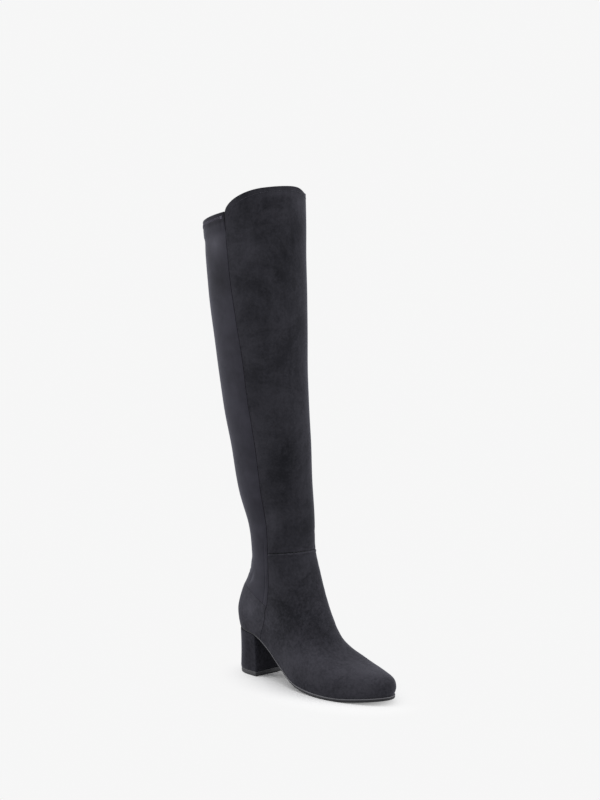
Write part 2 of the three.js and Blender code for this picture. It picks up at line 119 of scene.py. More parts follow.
# Sections of the leg from the ankle seam up to the collar: the share of the leg's height, the growth in
# depth and width, the shares of the set back and of the lean, and how far the back lies lower.
leg_sections = table("rise depth width set lean drop", [
    [0, 0, 0, 0, 0, 0.11],
    [0.08, 0.05, 0.06, 0.08, 0.05, 0.12],
    [0.18, 0.25, 0.25, 0.3, 0.23, 0.14],
    [0.3, 0.36, 0.4, 0.38, 0.45, 0.16],
    [0.42, 0.5, 0.54, 0.52, 0.66, 0.17],
    [0.55, 0.63, 0.68, 0.66, 0.75, 0.17],
    [0.68, 0.77, 0.82, 0.8, 0.83, 0.17],
    [0.82, 0.88, 0.92, 0.91, 0.92, 0.18],
    [1, 1, 1, 1, 1, 0.19],
])
seam_angles = np.radians([
    58, 60, 63, 66, 69.5, 73.5, 79.5, 86, 93, 99, 103, 105, 109, 110, 109.5, 107.5, 104, 101, 99.5,
])


def station(column, x):
    """A column of the sole's stations at a distance x from the back of the heel."""
    return along(sole_stations[column], np.clip(x / foot_length, 0, 1) * 10)


def feather_height(x):
    """Height of the line where the upper meets the sole: the heel's pitch plus the toe's spring."""
    pitched = (heel_height - sole_thickness) * station("pitch", x)
    return sole_thickness + pitched + toe_spring * station("spring", x)


def foot_and_leg(foot_value, leg_value):
    """One column for all rows of the skin: the foot's values and then the leg's."""
    foot_part = np.broadcast_to(foot_value, foot_sections["front"].shape)
    leg_part = np.broadcast_to(leg_value, leg_sections["rise"].shape)
    return np.concatenate([foot_part, leg_part])


ankle_height = heel_height + ankle_rise
leg_depth = mix(ankle_depth, collar_depth, leg_sections["depth"])
leg_middle = ankle_back + ankle_depth / 2 - shaft_set_back * leg_sections["set"]
leg_front = ankle_height + leg_height * leg_sections["rise"]
leg_half = mix(ankle_width, collar_width, leg_sections["width"]) / 2
toe_rise = mix(sole_thickness + toe_spring, ankle_height, foot_sections["front_rise"])
sections = {
    "front_x": foot_and_leg(foot_sections["front"] * foot_length, leg_middle + leg_depth / 2),
    "front_z": foot_and_leg(toe_rise, leg_front),
    "back_x": foot_and_leg(foot_sections["back"] * foot_length, leg_middle - leg_depth / 2),
    "back_z": foot_and_leg(
        heel_height + ankle_rise * foot_sections["back_rise"],
        leg_front - leg_depth * leg_sections["drop"],
    ),
    "half": foot_and_leg(ankle_width / 2, leg_half),
    "swell": foot_and_leg(foot_sections["swell"], 1),
    "oval": foot_and_leg(foot_sections["oval"], 1),
    "nose": foot_and_leg(foot_sections["nose"], 0.5),
    "tail": foot_and_leg(foot_sections["tail"], 0.5),
    "sag": foot_and_leg(foot_sections["sag"], 0),
    "lean": foot_and_leg(0, -shaft_lean * leg_sections["lean"]),
}
ankle_row = len(foot_sections["front"])
collar_row = len(sections["front_x"]) - 1


def rounded_end(distance, reach):
    """0 at the tip and 1 from the reach onwards, along a quarter of an ellipse."""
    return np.sqrt(1 - (1 - np.clip(distance / reach, 0, 1)) ** 2)


def skin(v, a):
    """The boot's outside at row v and angle a, which runs from the back round the lateral side. A ring
    goes from its back end to its front end with the cosine of a, its half width is the sole's plan
    faded into an oval, and its height is a tilted line with the sole's curve added."""
    v, a = np.broadcast_arrays(v, a)
    s = {name: along(column, v) for name, column in sections.items()}
    share = (1 - np.cos(a)) / 2
    x = mix(s["back_x"], s["front_x"], share)
    side = np.where(np.sin(a) >= 0, -1, 1)
    plan = ball_width * np.where(side < 0, station("lateral", x), station("medial", x)) * s["swell"]
    ends = rounded_end(1 - share, s["nose"]) * rounded_end(share, s["tail"])
    swing = toe_swing * np.clip(x / foot_length, 0, 1) ** 2
    chord = mix(feather_height(s["back_x"]), feather_height(s["front_x"]), share)
    y = side * mix(plan, s["half"], s["oval"]) * ends + swing + s["lean"]
    z = mix(s["back_z"], s["front_z"], share) + s["sag"] * (feather_height(x) - chord)
    return np.stack([x - heel_middle, y, z], axis=-1)


def unit(vectors):
    """The same directions at a length of one."""
    return vectors / np.linalg.norm(vectors, axis=-1, keepdims=True)


step = 0.01


def skin_frame(v, a):
    """Directions round, up and out of the skin, from the differences of points a small step apart."""
    climb = skin(np.minimum(v + step, collar_row), a) - skin(np.maximum(v - step, 0), a)
    round_way = unit(skin(v, a + step) - skin(v, a - step))
    out = unit(np.cross(round_way, climb))
    return round_way, np.cross(out, round_way), out


def raised(v, a, offset):
    """The skin's points moved along its normal by an offset."""
    return skin(v, a) + skin_frame(v, a)[2] * np.asarray(offset)[..., None]


def seam_angle(v):
    """Angle of the lateral side seam at row v. The medial one is its mirror image."""
    return along(seam_angles, v)


def angle_per_metre(v, a):
    """The angle that one metre spans round the skin."""
    return 2 * step / np.linalg.norm(skin(v, a + step) - skin(v, a - step), axis=-1)


def rows_per_metre(v, a):
    """The rows that one metre spans up the skin."""
    return 2 * step / np.linalg.norm(skin(v - step, a) - skin(v - 3 * step, a), axis=-1)


zip_opening = 7 * mm
zip_top_rise = 116 * mm
zip_foot_row = 1.7
zip_top_taper = 0.12
probe = np.linspace(ankle_row, collar_row, 2001)
zip_top_row = np.interp(ankle_height + zip_top_rise, along(sections["front_z"], probe), probe)


def smooth_step(value, start, end):
    """0 before start, 1 after end, and a smooth cubic between them."""
    t = np.clip((value - start) / (end - start), 0, 1)
    return t * t * (3 - 2 * t)


def zip_gap(v):
    """Width of the zip's opening at row v: it opens from the seam at both ends."""
    foot_end = smooth_step(v, zip_foot_row - 0.15, zip_foot_row + 0.25)
    top_end = smooth_step(-v, -zip_top_row - zip_top_taper, -zip_top_row)
    return mix(seam_gap, zip_opening, foot_end * top_end)


def medial_edge(v, side):
    """Angle of the medial seam's edge at row v, on the side towards the back (1) or the front (-1)."""
    return -seam_angle(v) + side * zip_gap(v) / 2 * angle_per_metre(v, -seam_angle(v))


def seam_behind(v):
    """Angle of the lateral edge of a panel behind the side seam."""
    return seam_angle(v) - seam_gap * angle_per_metre(v, seam_angle(v))


def medial_front(v):
    """Angle of the medial edge of a panel in front of the side seam."""
    return medial_edge(v, -1) + 2 * math.pi


def medial_back(v):
    """Angle of the medial edge of a panel behind the side seam."""
    return medial_edge(v, 1)


edge_steps = np.array([0, 0.08, 0.25, 0.5, 0.85, *np.arange(1.3, 7.2, 0.5)]) * mm


def crowded(count, size):
    """Places from 0 to a size: a few close to each end, where an edge is rolled, and the rest even."""
    size = np.asarray(size, float)[..., None]
    start = np.broadcast_to(edge_steps, (*size.shape[:-1], len(edge_steps)))
    middle = edge_steps[-1] + np.linspace(0, 1, count + 2)[1:-1] * (size - 2 * edge_steps[-1])
    return np.concatenate([start, middle, size - start[..., ::-1]], axis=-1)


def rolled(distance, radius):
    """1 at an edge and 0 from the radius onwards, along a quarter of a circle."""
    return 1 - rounded_end(distance, radius)


def put_in(name, data):
    """A new object in the scene for a mesh, a lamp or a camera."""
    made = bpy.data.objects.new(name, data)
    bpy.context.scene.collection.objects.link(made)
    return made


def new_object(name, points, faces, materials, face_material=0):
    """An object from an array of points and an array of faces with equal numbers of corners."""
    mesh = bpy.data.meshes.new(name)
    mesh.vertices.add(len(points))
    mesh.vertices.foreach_set("co", np.asarray(points, np.float32).ravel())
    mesh.loops.add(faces.size)
    mesh.loops.foreach_set("vertex_index", faces.astype(np.int32).ravel())
    mesh.polygons.add(len(faces))
    mesh.polygons.foreach_set("loop_start", np.arange(len(faces), dtype=np.int32) * faces.shape[1])
    for material in materials:
        mesh.materials.append(material)
    slots = np.broadcast_to(face_material, len(faces)).astype(np.int32)
    mesh.polygons.foreach_set("material_index", slots)
    mesh.polygons.foreach_set("use_smooth", np.ones(len(faces), bool))
    mesh.update(calc_edges=True)
    return put_in(name, mesh)


def quads(index):
    """Four corners of every cell of a grid of point numbers, in turn round the cell."""
    return np.stack([index[:-1, :-1], index[:-1, 1:], index[1:, 1:], index[1:, :-1]], -1).reshape(-1, 4)


def wall(name, outer, inner, materials):
    """A closed wall between two grids that meet along their borders: the outer cells, and the inner
    ones turned round, which use the outer grid's points on the border."""
    rows, columns = outer.shape[:2]
    front = np.arange(rows * columns).reshape(rows, columns)
    back = front.copy()
    back[1:-1, 1:-1] = rows * columns + np.arange((rows - 2) * (columns - 2)).reshape(rows - 2, -1)
    points = np.concatenate([outer.reshape(-1, 3), inner[1:-1, 1:-1].reshape(-1, 3)])
    outside = quads(front)
    faces = np.concatenate([outside, quads(back)[:, ::-1]])
    slots = np.repeat([0, len(materials) - 1], len(outside))
    return new_object(name, points, faces, materials, slots)


# Creases placed one by one. Each is a trough with raised shoulders, at a row and an angle in degrees,
# and runs at a tilt from level. Its length, width and depth are in mm.
creases = table("row angle tilt length width depth", [
    [9.91, 124, 1, 15, 0.8, 0.45],
    [9.84, 107, 2, 5, 0.8, 0.4],
    [9.8, 150, 1, 10, 1.6, 0.2],
    [9.88, 176, 5, 6, 1.1, 0.5],
    [9.84, 196, -4, 7, 1.2, 0.4],
    [10.09, 209, 30, 6, 3, 1.3],
    [9.55, 128, 8, 16, 2.6, 0.3],
    [9.3, 205, -10, 18, 3.0, 0.3],
    [8.7, 168, 0, 24, 4.0, 0.35],
    [8.1, 190, 3, 22, 4.0, 0.3],
    [7.2, 160, -6, 26, 5.0, 0.35],
    [6.6, 205, 8, 24, 5.0, 0.35],
    [10.14, 172, -14, 9, 1.8, 0.55],
    [10.1, 187, 12, 8, 1.8, 0.5],
    [10.25, 150, -4, 20, 3.5, 0.3],
    [10.5, 118, 5, 22, 4.0, 0.3],
    [10.6, 200, 6, 24, 4.0, 0.35],
    [7.3, 50, 58, 10, 4.5, 1.0],
    [6.7, 40, 30, 12, 5, 0.8],
    [7.9, 32, 34, 8, 1.3, 0.5],
    [7.6, 24, 30, 7, 1.3, 0.5],
    [7.3, 30, 28, 6, 1.2, 0.4],
    [8.3, 12, 8, 11, 2.0, 0.5],
    [8.8, 350, -6, 12, 2.2, 0.45],
    [9.3, 10, 4, 14, 2.6, 0.5],
    [9.8, 355, 2, 14, 2.6, 0.4],
    [10.6, 5, 3, 16, 3.5, 0.4],
])


crease_reach = 20 * mm


def creased(points):
    """Height of the creases at the skin's points. In a crease's own plane, its section across is a
    bell curve's second derivative and it fades along its length as a bell curve does."""
    height = np.zeros(points.shape[:-1])
    for row, angle, tilt, length, width, depth in zip(*creases.values()):
        angle, tilt = math.radians(angle), math.radians(tilt)
        away = points - skin(row, angle)
        round_way, up, out = skin_frame(np.array(row), np.array(angle))
        lengthwise = away @ (round_way * math.cos(tilt) + up * math.sin(tilt)) / (length * mm)
        crosswise = away @ (up * math.cos(tilt) - round_way * math.sin(tilt)) / (width * mm)
        depthwise = away @ out / crease_reach
        hollow = (1 - 0.8 * crosswise**2) * np.exp(-(crosswise**2) - lengthwise**2 - depthwise**2)
        height -= depth * mm * hollow
    return height


slack_height = 0.16 * mm


def waviness(points):
    """The slack of soft leather: three slow waves at slants that don't repeat together."""
    x, y, z = np.moveaxis(points / mm, -1, 0)
    slow = np.sin(z / 31 + x / 23 + 1.3) + np.sin(z / 19 - y / 17 + 4.1)
    return slack_height * (slow + 0.6 * np.sin(z / 11 + x / 29 - y / 13))


def bell(distance, width):
    """A bell curve: 1 at no distance, 1 / e at a width."""
    return np.exp(-((distance / width) ** 2))


def panel(name, bottom, top, left, right, counts, walls, materials, trim=None, extra=None):
    """A sewn panel between two rows and two side angles, which are functions of the row. Its wall keeps
    its thickness, follows the creases, and is rolled round along every edge. trim gives how far each
    point of the top edge lies lower, and extra adds relief to the outside, from the row and the
    distances below the top edge and from the right edge."""
    row_count, column_count = counts
    thickness, roll = walls
    middle_row = np.array((bottom + top) / 2)
    middle = (left(middle_row) + right(middle_row)) / 2
    climb = skin(np.linspace(bottom, top, 60), middle)
    height = np.linalg.norm(np.diff(climb, axis=0), axis=-1).sum()
    up = crowded(row_count, height)[:, None]
    v = mix(bottom, top, up / height)
    fan = mix(left(v), right(v), np.linspace(0, 1, 80))
    width = np.linalg.norm(np.diff(skin(v, fan), axis=1), axis=-1).sum(1)
    across = crowded(column_count, width)
    side_distance = np.minimum(across, width[:, None] - across)
    share = across / width[:, None]
    top_distance = np.broadcast_to(height - up, share.shape)
    if trim:
        drop = trim(side_distance[-1], mix(left(v[-1]), right(v[-1]), share[-1]))
        slope = np.gradient(drop, across[-1])
        v = v - drop * rows_per_metre(top, math.pi) * np.clip(v - (top - 1), 0, 1)
        top_distance = top_distance / np.sqrt(1 + slope**2)
    v = np.broadcast_to(v, share.shape)
    a = mix(left(v), right(v), share)
    distance = np.minimum(np.minimum(up, top_distance), side_distance)
    on_skin = skin(v, a)
    relief = creased(on_skin) * smooth_step(distance, 0, 2 * mm) + waviness(on_skin)
    turned = rolled(distance, roll) * thickness / 2
    out = skin_frame(v, a)[2]
    lift = extra(v, height - up, width[:, None] - across) if extra else 0
    outer = on_skin + out * (relief + lift - turned)[..., None]
    inner = on_skin + out * (relief - thickness + turned)[..., None]
    return wall(name, outer, inner, materials)


class Shade:
    """One socket of a material's nodes. Python's operators on it add the Math nodes that they mean."""

    def __init__(self, tree, socket):
        self.tree = tree
        self.socket = socket

    def node(self, kind, settings, inputs, output=0):
        """Adds a node of a kind: its settings first, then the numbers or links of its sockets."""
        made = self.tree.nodes.new("ShaderNode" + kind)
        for name, value in settings.items():
            setattr(made, name, value)
        for name, value in inputs.items():
            if isinstance(value, Shade):
                self.tree.links.new(value.socket, made.inputs[name])
            else:
                made.inputs[name].default_value = value
        return Shade(self.tree, made.outputs[output])

    def maths(self, operation, first, second):
        return self.node("Math", {"operation": operation}, {0: first, 1: second})

    def __add__(self, other):
        return self.maths("ADD", self, other)

    __radd__ = __add__

    def __sub__(self, other):
        return self.maths("SUBTRACT", self, other)

    def __rsub__(self, other):
        return self.maths("SUBTRACT", other, self)

    def __mul__(self, other):
        return self.maths("MULTIPLY", self, other)

    __rmul__ = __mul__

    def __pow__(self, other):
        return self.maths("POWER", self, other)

    def between(self, low, high):
        """0 at low, 1 at high, held at both ends."""
        inputs = {"Value": self, "From Min": low, "From Max": high}
        return self.node("MapRange", {"clamp": True}, inputs)

    def noise(self, scale, detail=3, roughness=0.55, distortion=0.0):
        """Noise on these coordinates, about 0 to 1, with patches of one over the scale in metres."""
        inputs = {"Vector": self, "Scale": scale, "Detail": detail}
        inputs |= {"Roughness": roughness, "Distortion": distortion}
        return self.node("TexNoise", {}, inputs)

    def stretched(self, x, y, z):
        """These coordinates, scaled along each axis."""
        return self.node("Mapping", {"vector_type": "POINT"}, {"Vector": self, "Scale": (x, y, z)})

    def axis(self, number):
        """One of these coordinates: 0 for x, 1 for y and 2 for z."""
        return self.node("SeparateXYZ", {}, {0: self}, number)

    def spot(self, centre, radii):
        """1 at a centre, falling softly to 0 at the radii."""
        inputs = {"Vector": self, "Location": centre, "Scale": radii}
        away = self.node("Mapping", {"vector_type": "TEXTURE"}, inputs)
        return away.node("VectorMath", {"operation": "LENGTH"}, {0: away}, 1).between(1, 0) ** 1.5

    def tint(self, first, second):
        """A colour that goes from the first to the second as this value goes from 0 to 1."""
        inputs = {"Factor": self, 6: (*first, 1), 7: (*second, 1)}
        return self.node("Mix", {"data_type": "RGBA"}, inputs, 2)

    def bump(self, depth, strength):
        """A normal that reads this value as a height of up to that depth in metres."""
        return self.node("Bump", {}, {"Height": self, "Distance": depth, "Strength": strength})


def new_finish(name, **sockets):
    """A material with one principled shader, and its object coordinates to build on."""
    material = bpy.data.materials.new(name)
    material.use_nodes = True
    tree = material.node_tree
    tree.nodes.clear()
    shader = tree.nodes.new("ShaderNodeBsdfPrincipled")
    output = tree.nodes.new("ShaderNodeOutputMaterial")
    tree.links.new(shader.outputs[0], output.inputs["Surface"])
    for socket, value in sockets.items():
        shader.inputs[socket.replace("_", " ")].default_value = value
    coordinates = tree.nodes.new("ShaderNodeTexCoord")
    return material, shader, Shade(tree, coordinates.outputs["Object"])


def link(shader, **sockets):
    """Links values to the principled shader's sockets."""
    for socket, value in sockets.items():
        value.tree.links.new(value.socket, shader.inputs[socket.replace("_", " ")])


# Where the nap is brushed lighter or darker, together with painted light and shade: the lighter patches
# on the counter, the lower vamp and the toe are partly painted light, and the small bright spot at row
# 10.06 is a painted highlight on the pucker at the front of the ankle seam. Row and angle in degrees,
# its reach round and up in mm, and how much lighter it is.
nap_and_light_patches = table("row angle round up shade", [
    [17.9, 165, 40, 7, 0.6],
    [10.06, 211, 6, 4, 1.2],
    [17.73, 152, 24, 12, -0.4],
    [17.2, 182, 22, 9, -0.35],
    [16.93, 168, 12, 16, -0.35],
    [16.6, 158, 12, 16, -0.4],
    [17.2, 122, 36, 44, 0.8],
    [17.75, 192, 12, 16, 0.9],
    [12.8, 156, 22, 66, -0.35],
    [12.9, 114, 24, 56, 0.7],
    [11.2, 116, 20, 46, 0.7],
    [14.9, 118, 24, 40, 0.25],
    [7.1, 112, 20, 44, -0.3],
    [7.9, 174, 24, 44, 0.35],
    [2.8, 50, 36, 46, 2.2],
    [3.6, 72, 26, 32, 0.8],
    [4.8, 160, 70, 44, 0.9],
    [3.25, 104, 60, 30, 0.8],
    [1.2, 140, 60, 26, 0.7],
    [1.2, 190, 46, 26, 0.6],
])


def below_ring(place, row):
    """Depth in metres of a material's places below the level plane of a ring of the leg."""
    back_point, front_point = skin(np.full(2, row), np.array([0, math.pi]))
    slope = (front_point[2] - back_point[2]) / (front_point[0] - back_point[0])
    return place.axis(0) * slope + (back_point[2] - slope * back_point[0]) - place.axis(2)


def suede_finish(name, dark, light, patches=None):
    """Split leather with a raised nap: clouds of every size where it lies one way or the other, streaks
    down the leg, a coarser grain on the foot, patches where the nap is brushed lighter or darker, some
    of them painted light and shade, a painted highlight on the bead just below the ankle seam with
    painted shade in the groove just above it, and a fine fibrous bump."""
    material, shader, place = new_finish(
        name,
        Sheen_Weight=0.16,
        Sheen_Roughness=0.35,
        Sheen_Tint=(0.7, 0.7, 0.85, 1),
        Specular_IOR_Level=0.08,
    )
    clouds = place.noise(17, 7, 0.74, 0.5)
    streaks = place.stretched(1, 1, 0.2).noise(120, 3, 0.6)
    grain = place.noise(300, 2, 0.7)
    fibres = place.noise(1500, 3, 0.7)
    nap_and_painted_light = (clouds * 0.66 + streaks * 0.14 + grain * 0.2).between(0.42, 0.575)
    below = below_ring(place, ankle_row)
    # A painted highlight on the vamp's bead just below the ankle seam, and painted shade in the groove
    # just above it.
    painted_seam_highlight = below.between(0.4 * mm, 1.0 * mm) * below.between(2.4 * mm, 1.4 * mm)
    painted_seam_shade = below.between(-1.6 * mm, -0.6 * mm) * below.between(0.5 * mm, 0)
    coarser = (grain - 0.5) * below.between(20 * mm, 70 * mm) * 1.1
    nap_and_painted_light = nap_and_painted_light + coarser + painted_seam_highlight * grain.between(0.35, 0.6) * 0.9 - painted_seam_shade * 0.6
    for row, angle, round_way, up, shade in zip(*(patches or {}).values()):
        centre = skin(row, math.radians(angle))
        nap_and_painted_light = nap_and_painted_light + place.spot(centre, (round_way * mm, round_way * mm, up * mm)) * shade
    pile_and_painted_light = nap_and_painted_light * 0.85 + fibres.between(0.3, 0.75) * 0.15
    link(
        shader,
        Base_Color=pile_and_painted_light.between(-0.25, 3.0).tint(dark, light),
        Roughness=nap_and_painted_light * 0.08 + 0.86,
        Normal=(fibres * 0.5 + grain * 0.5).bump(0.3 * mm, 0.6),
    )
    return material


def ankle_bead(v, below_top, from_right):
    """The vamp's turned top edge: a low bead along the ankle seam."""
    return 0.55 * mm * bell(below_top - 1.6 * mm, 1.1 * mm)


suede = suede_finish("suede", (0.0054, 0.0056, 0.0076), (0.0515, 0.0503, 0.0615), nap_and_light_patches)
flesh_side = suede_finish("suede_backing", (0.03, 0.028, 0.027), (0.05, 0.047, 0.045))
vamp_sizes = (suede_wall, 0.7 * mm)
vamp = panel(
    "vamp",
    0,
    ankle_row - 0.004,
    seam_angle,
    medial_front,
    (110, 170),
    vamp_sizes,
    [suede, flesh_side],
    extra=ankle_bead,
)
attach(vamp, "boot")
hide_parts("upper")

# Counter
# The suede round the heel, stiffened and lasted with the vamp. It is sewn to the vamp at the sides, and
# its top edge carries the stretch panel.
counter_row = 5.7
counter = panel(
    "counter", 0, counter_row, medial_back, seam_behind, (50, 70), vamp_sizes, [suede, flesh_side]
)
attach(counter, "boot")
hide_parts("upper")

# Shaft
# The suede front of the leg, sewn to the vamp at the ankle. Its top edge is turned and stitched, and
# rounded down to the side seams.
collar_corner_drop = 21.5 * mm
collar_corner_reach = 50 * mm
collar_sag = 5 * mm
collar_stitch = 5.5 * mm


def collar_trim(side_distance, angle):
    """How far the collar's edge lies lower: a quarter of an ellipse at each corner, and a slow dip on
    the medial side of the front."""
    corner = collar_corner_drop * rolled(side_distance, collar_corner_reach)
    return corner + collar_sag * bell(angle - math.radians(212), math.radians(16))


shaft = panel(
    "shaft",
    ankle_row + seam_gap * rows_per_metre(ankle_row + 0.1, math.pi),
    collar_row,
    seam_angle,
    medial_front,
    (230, 125),
    (suede_wall, 0.6 * mm),
    [suede, flesh_side],
    trim=collar_trim,
)
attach(shaft, "boot")
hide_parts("shaft")

# Stretch panel
# The elastic back of the leg, a smooth brushed fabric sewn into both side seams and into the counter.
# Its top is a folded hem with a zigzag stitch.
stretch_wall = 1.4 * mm
stretch_drop = 19 * mm
hem_height = 10 * mm
zigzag_drop = 6 * mm
stretch_top = collar_row - stretch_drop * rows_per_metre(collar_row, math.pi)


def hem_relief(v, below_top, from_seam):
    """The folded hem stands proud, with small ruches that its zigzag stitch draws in. Low down, a strip
    along the side seam is held flat by a second row of stitches."""
    folded = 1 - smooth_step(below_top, hem_height - 0.6 * mm, hem_height + 0.6 * mm)
    ruches = np.sin(from_seam / (1.1 * mm)) * bell(below_top - zigzag_drop, 3 * mm)
    drawn_in = bell(below_top - 12 * mm, 3.5 * mm)
    low_down = smooth_step(-v, -ankle_row - 0.5, -ankle_row - 0.2)
    strip = low_down * bell(from_seam - 5 * mm, 0.7 * mm)
    return folded * (0.6 * mm + 0.16 * mm * ruches) - 0.5 * mm * drawn_in - 0.4 * mm * strip


def stretch_finish():
    """Brushed elastic microfibre: clouded more softly than the suede, smoother at the top with a
    painted highlight there and painted shade around it, a dark hem, and a painted shadow line and
    painted shade fading out below the hem."""
    material, shader, place = new_finish(
        "stretch_fabric",
        Sheen_Weight=0.16,
        Sheen_Roughness=0.35,
        Sheen_Tint=(0.7, 0.72, 0.88, 1),
        Specular_IOR_Level=0.06,
    )
    clouds = place.noise(22, 6, 0.7)
    fibres = place.noise(1900, 3, 0.7)
    below = below_ring(place, stretch_top)
    hem = below.between(hem_height + 1 * mm, hem_height) * (fibres.between(0.35, 0.65) * 0.7)
    # Painted shadow: a dark line just under the hem. slack is painted shade that fades out below it,
    # where the hem draws the panel in.
    under_hem = below.between(hem_height - 0.6 * mm, hem_height + 0.4 * mm)
    painted_hem_shadow = under_hem * below.between(hem_height + 4 * mm, hem_height + 1 * mm)
    slack = below.between(hem_height + 14 * mm, hem_height + 2 * mm) * 0.3
    # A painted highlight near the top, where the fabric is also smoother, and painted shade around it
    # that keeps the highlight short.
    painted_satin_highlight = place.spot(skin(17.33, math.radians(82)), (24 * mm, 24 * mm, 28 * mm))
    darkening = place.spot(skin(16.75, math.radians(80)), (40 * mm, 40 * mm, 46 * mm))
    shade = (clouds * 0.75 + fibres * 0.25).between(0.38, 0.62) * 0.8 + painted_satin_highlight * 1.2 - darkening * 0.8
    shade = shade - hem - painted_hem_shadow * 0.35 - slack
    link(
        shader,
        Base_Color=shade.between(-0.6, 2).tint((0.0055, 0.0052, 0.0078), (0.04, 0.0388, 0.051)),
        Roughness=clouds * 0.1 + 0.6 - painted_satin_highlight * 0.15,
        Normal=fibres.bump(0.15 * mm, 0.5),
    )
    return material


stretch = stretch_finish()
stretch_panel = panel(
    "stretch_panel",
    counter_row + seam_gap * rows_per_metre(counter_row, 0),
    stretch_top,
    medial_back,
    seam_behind,
    (230, 80),
    (stretch_wall, 0.45 * mm),
    [stretch, flesh_side],
    extra=hem_relief,
)
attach(stretch_panel, "boot")
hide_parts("stretch_panel")

# Insole
# A fibre board under a thin sock lining. It lies on the outsole, inside the lasted upper.
insole_thickness = 2.4 * mm
bottom_gap = 0.35 * mm
insole_inset = suede_wall + 0.5 * mm


def sole_outline(inset, shrink, turn):
    """Points of the sole's plan: its length and half widths drawn in by an inset, its ends rounded as
    the lowest ring's are, and its width shrunk to its middle line by a share."""
    share = (1 - np.cos(turn)) / 2
    back = foot_sections["back"][0] * foot_length + inset(np.array(0.0))
    front = foot_sections["front"][0] * foot_length - inset(np.array(foot_length))
    x = mix(back, front, share)
    side = np.where(np.sin(turn) >= 0, -1, 1)
    half = ball_width * np.where(side < 0, station("lateral", x), station("medial", x)) - inset(x)
    nose, tail = foot_sections["nose"][0], foot_sections["tail"][0]
    ends = rounded_end(1 - share, nose) * rounded_end(share, tail)
    return x, side * half * ends * shrink + toe_swing * np.clip(x / foot_length, 0, 1) ** 2


def ringed(name, rings, materials, slots=0):
    """A closed form from rings of points, top ring first, whose first and last rings are shrunk to a
    line. Points that meet are welded."""
    count = rings.shape[1]
    index = np.arange(len(rings) * count).reshape(len(rings), count)
    index = np.concatenate([index, index[:, :1]], axis=1)
    faces = quads(index)[:, ::-1]
    slots = np.repeat(np.broadcast_to(slots, len(rings) - 1), count)
    piece = new_object(name, rings.reshape(-1, 3), faces, materials, slots)
    form = bmesh.new()
    form.from_mesh(piece.data)
    bmesh.ops.remove_doubles(form, verts=form.verts, dist=0.002 * mm)
    bmesh.ops.recalc_face_normals(form, faces=form.faces)
    form.to_mesh(piece.data)
    form.free()
    return piece


def sole_form(name, profile, materials, slots=0, count=220):
    """A sole from its profile, a list of an inset, a share of the width, and a height, from the top's
    middle to the underside's middle."""
    turn = (np.arange(count) + 0.5) / count * 2 * math.pi
    rings = []
    for inset, shrink, height in profile:
        x, y = sole_outline(inset, shrink, turn)
        rings.append(np.stack([x - heel_middle, y, height(x)], -1))
    return ringed(name, np.array(rings), materials, slots)


def lining_finish(name, dark, light):
    """A thin knitted lining: fine crossed ribs and a little fuzz."""
    material, shader, place = new_finish(name, Sheen_Weight=0.2, Specular_IOR_Level=0.2)
    fuzz = place.noise(900, 3, 0.6)
    ribs = place.node("TexWave", {"bands_direction": "Z"}, {"Vector": place, "Scale": 260}, 1)
    link(
        shader,
        Base_Color=(fuzz * 0.5 + ribs * 0.5).between(0.2, 0.8).tint(dark, light),
        Roughness=fuzz * 0.1 + 0.8,
        Normal=(fuzz * 0.4 + ribs * 0.6).bump(0.15 * mm, 0.6),
    )
    return material


sock_lining = lining_finish("sock_lining", (0.02, 0.019, 0.019), (0.036, 0.034, 0.034))


def insole_top(x):
    return feather_height(x) + bottom_gap + insole_thickness


def insole_under(x):
    return feather_height(x) + bottom_gap


def steady(size):
    """The same inset or height all along."""
    return lambda x: size + 0 * x


insole = sole_form("insole", [
    (steady(insole_inset + 0.5 * mm), 0, insole_top),
    (steady(insole_inset + 0.5 * mm), 0.5, insole_top),
    (steady(insole_inset + 0.5 * mm), 1, insole_top),
    (steady(insole_inset), 1, lambda x: insole_top(x) - 0.6 * mm),
    (steady(insole_inset), 1, insole_under),
    (steady(insole_inset), 0, insole_under),
], [sock_lining])
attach(insole, "boot")
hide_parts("insole")

# Lining
# A soft knitted lining, glued inside the whole upper from the insole to the collar. It backs the seams
# and stops at the zip.
lining_depth = suede_wall + 0.05 * mm
lining_thickness = 0.35 * mm
lining_fabric = lining_finish("lining_fabric", (0.03, 0.029, 0.031), (0.055, 0.053, 0.056))


def thin_sheet(name, outer, inner, material):
    """A wall between two grids whose borders are first drawn together, to the middle between them."""
    for border in ((0, slice(None)), (-1, slice(None)), (slice(None), 0), (slice(None), -1)):
        outer[border] = inner[border] = (outer[border] + inner[border]) / 2
    return wall(name, outer, inner, [material])


def lined(name, bottom, top, left, right, counts, trim=None):
    """A sheet of lining behind a panel, a little way inside its edges."""
    rows, columns = counts
    v = np.linspace(bottom, top, rows)[:, None]
    share = np.linspace(0, 1, columns)[None, :]
    if trim:
        start, end = left(v[-1]), right(v[-1])
        ring = mix(start, end, share[0])
        to_edge = np.minimum(share[0], 1 - share[0]) * (end - start) / angle_per_metre(v[-1], ring)
        drop = trim(to_edge, ring) + 2 * mm
        v = v - drop * rows_per_metre(top, math.pi) * np.clip(v - (top - 1), 0, 1)
    v = np.broadcast_to(v, (rows, columns))
    a = mix(left(v), right(v), share)
    out = skin_frame(v, a)[2]
    on_skin = skin(v, a)
    slack = (creased(on_skin) + waviness(on_skin))[..., None] * out
    outer = on_skin + slack - out * lining_depth
    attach(thin_sheet(name, outer, outer - out * lining_thickness, lining_fabric), "boot")


lining_top = collar_row - 0.02
lined("lining_vamp", 0.05, ankle_row, seam_behind, medial_front, (50, 60))
lined("lining_counter", 0.05, counter_row, medial_back, seam_angle, (30, 30))
lined(
    "lining_shaft", ankle_row - 0.02, lining_top, seam_behind, medial_front, (90, 60), collar_trim
)
lined("lining_stretch", counter_row - 0.02, stretch_top - 0.04, medial_back, seam_angle, (90, 30))

